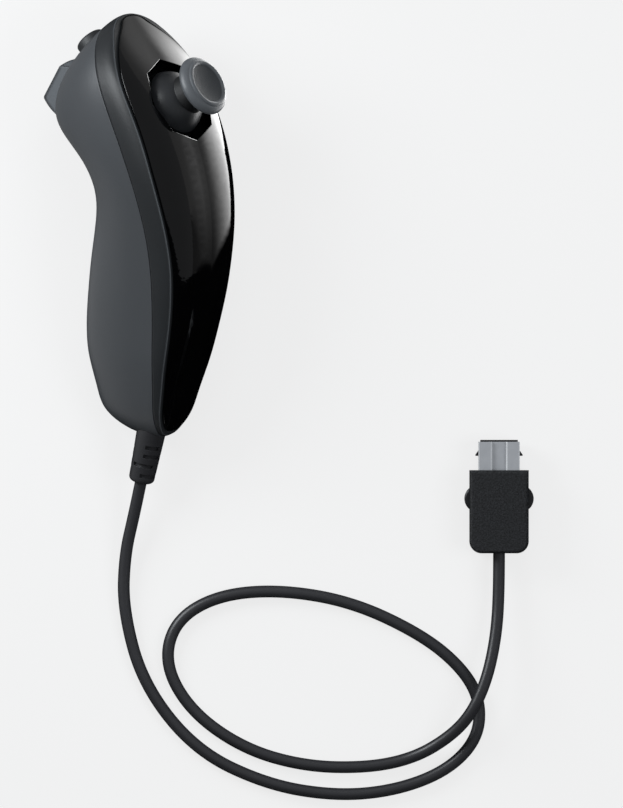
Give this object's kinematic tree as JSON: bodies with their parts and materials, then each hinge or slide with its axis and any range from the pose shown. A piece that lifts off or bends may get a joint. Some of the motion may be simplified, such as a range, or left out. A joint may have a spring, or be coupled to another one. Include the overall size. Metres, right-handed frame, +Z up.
{
  "type": "one-handed motion game controller",
  "caption": "Curved one-handed motion game controller with a thumb stick, a round button and a trigger, and a cord that ends in a latching plug.",
  "frame": {"origin": "on the table, under the middle of the grip's bounding box (cord and plug left out)", "axes": "+Z up from the table, +Y along the grip from its tail to its head, +X towards the glossy face plate's side"},
  "size_m": [0.1309, 0.2101, 0.0428],
  "materials": {
    "case_grey": "satin",
    "band_grey": "satin",
    "gloss_black": "gloss",
    "stick_grey": "matte",
    "control_grey": "satin",
    "relief_black": "matte",
    "cord_black": "satin",
    "plug_black": "fine texture",
    "latch_black": "satin",
    "plug_metal": "satin",
    "insert_black": "matte",
    "contact_gold": "bright",
    "steel": "bright",
    "board_green": "satin",
    "chip_black": "matte",
    "socket_white": "satin",
    "mechanism_black": "matte",
    "rubber_grey": "matte"
  },
  "bodies": {
    "controller": {"accelerometer_chip": "chip_black", "board_components": "chip_black", "board_screw_1": "steel", "board_screw_2": "steel", "button_board": "board_green", "button_board_screw_1": "steel", "button_board_screw_2": "steel", "case_screw_1": "steel", "case_screw_2": "steel", "controller_chip": "chip_black", "cord": "cord_black", "cord_leads": "cord_black", "cord_strain_relief": "relief_black", "face_plate": "gloss_black", "lead_socket": "socket_white", "left_latch_pin": "steel", "main_board": "board_green", "middle_band": "band_grey", "plug_back_cover": "plug_black", "plug_contacts": "contact_gold", "plug_front_cover": "plug_black", "plug_insert": "insert_black", "plug_metal_shell": "plug_metal", "rear_shell": "case_grey", "right_latch_pin": "steel", "stick_base": "mechanism_black", "stick_screw_1": "steel", "stick_screw_2": "steel", "stick_sensor_1": "socket_white", "stick_sensor_2": "socket_white", "trigger_board": "board_green", "trigger_board_screw_1": "steel", "trigger_board_screw_2": "steel", "z_trigger_pin": "steel"},
    "stick_ring": {"cross_pin": "steel", "rocker_ring": "mechanism_black"},
    "thumb_stick": {"spring_clip": "steel", "spring_foot": "mechanism_black", "stick_cap": "stick_grey", "stick_dome": "stick_grey", "stick_shaft": "mechanism_black", "stick_spring": "steel"},
    "stick_arch": {"rocker_arch": "mechanism_black"},
    "c_button": {"c_button": "control_grey", "c_button_pad": "rubber_grey"},
    "z_trigger": {"z_trigger": "control_grey", "z_trigger_pad": "rubber_grey"},
    "left_latch": {"left_latch": "latch_black"},
    "right_latch": {"right_latch": "latch_black"}
  },
  "joints": [
    {"name": "stick_tilt_across", "type": "hinge", "parent": "controller", "child": "stick_ring", "pos_m": [0.00784, 0.03808, 0.02696], "axis": [-0.5878, -0.1126, 0.8011], "range_deg": [-16, 16], "stiffness_Nm_per_rad": 0.02},
    {"name": "stick_tilt_along", "type": "hinge", "parent": "stick_ring", "child": "thumb_stick", "pos_m": [0.00784, 0.03808, 0.02696], "axis": [0.386, -0.9093, 0.1554], "range_deg": [-16, 16], "stiffness_Nm_per_rad": 0.02},
    {"name": "arch_tilt", "type": "hinge", "parent": "controller", "child": "stick_arch", "pos_m": [0.00784, 0.03808, 0.02696], "axis": [0.386, -0.9093, 0.1554], "range_deg": [-16.5, 16.5]},
    {"name": "c_button_press", "type": "slide", "parent": "controller", "child": "c_button", "axis": [0.5721, -0.7581, 0.3132], "range_m": [0, 0.001], "stiffness_N_per_m": 300},
    {"name": "z_trigger_press", "type": "hinge", "parent": "controller", "child": "z_trigger", "pos_m": [-0.01252, 0.04726, 0.01331], "axis": [-0.5878, -0.1126, 0.8011], "range_deg": [0, 8], "stiffness_Nm_per_rad": 0.1},
    {"name": "right_latch_press", "type": "hinge", "parent": "controller", "child": "right_latch", "pos_m": [0.1007, -0.0774, 0.00475], "axis": [0, 0, 1], "range_deg": [0, 2.5], "stiffness_Nm_per_rad": 0.3},
    {"name": "left_latch_press", "type": "hinge", "parent": "controller", "child": "left_latch", "pos_m": [0.0915, -0.0774, 0.00475], "axis": [0, 0, -1], "range_deg": [0, 2.5], "stiffness_Nm_per_rad": 0.3}
  ],
  "couplings": [
    {"joint": "arch_tilt", "follows": "stick_tilt_along", "ratio": 1}
  ]
}
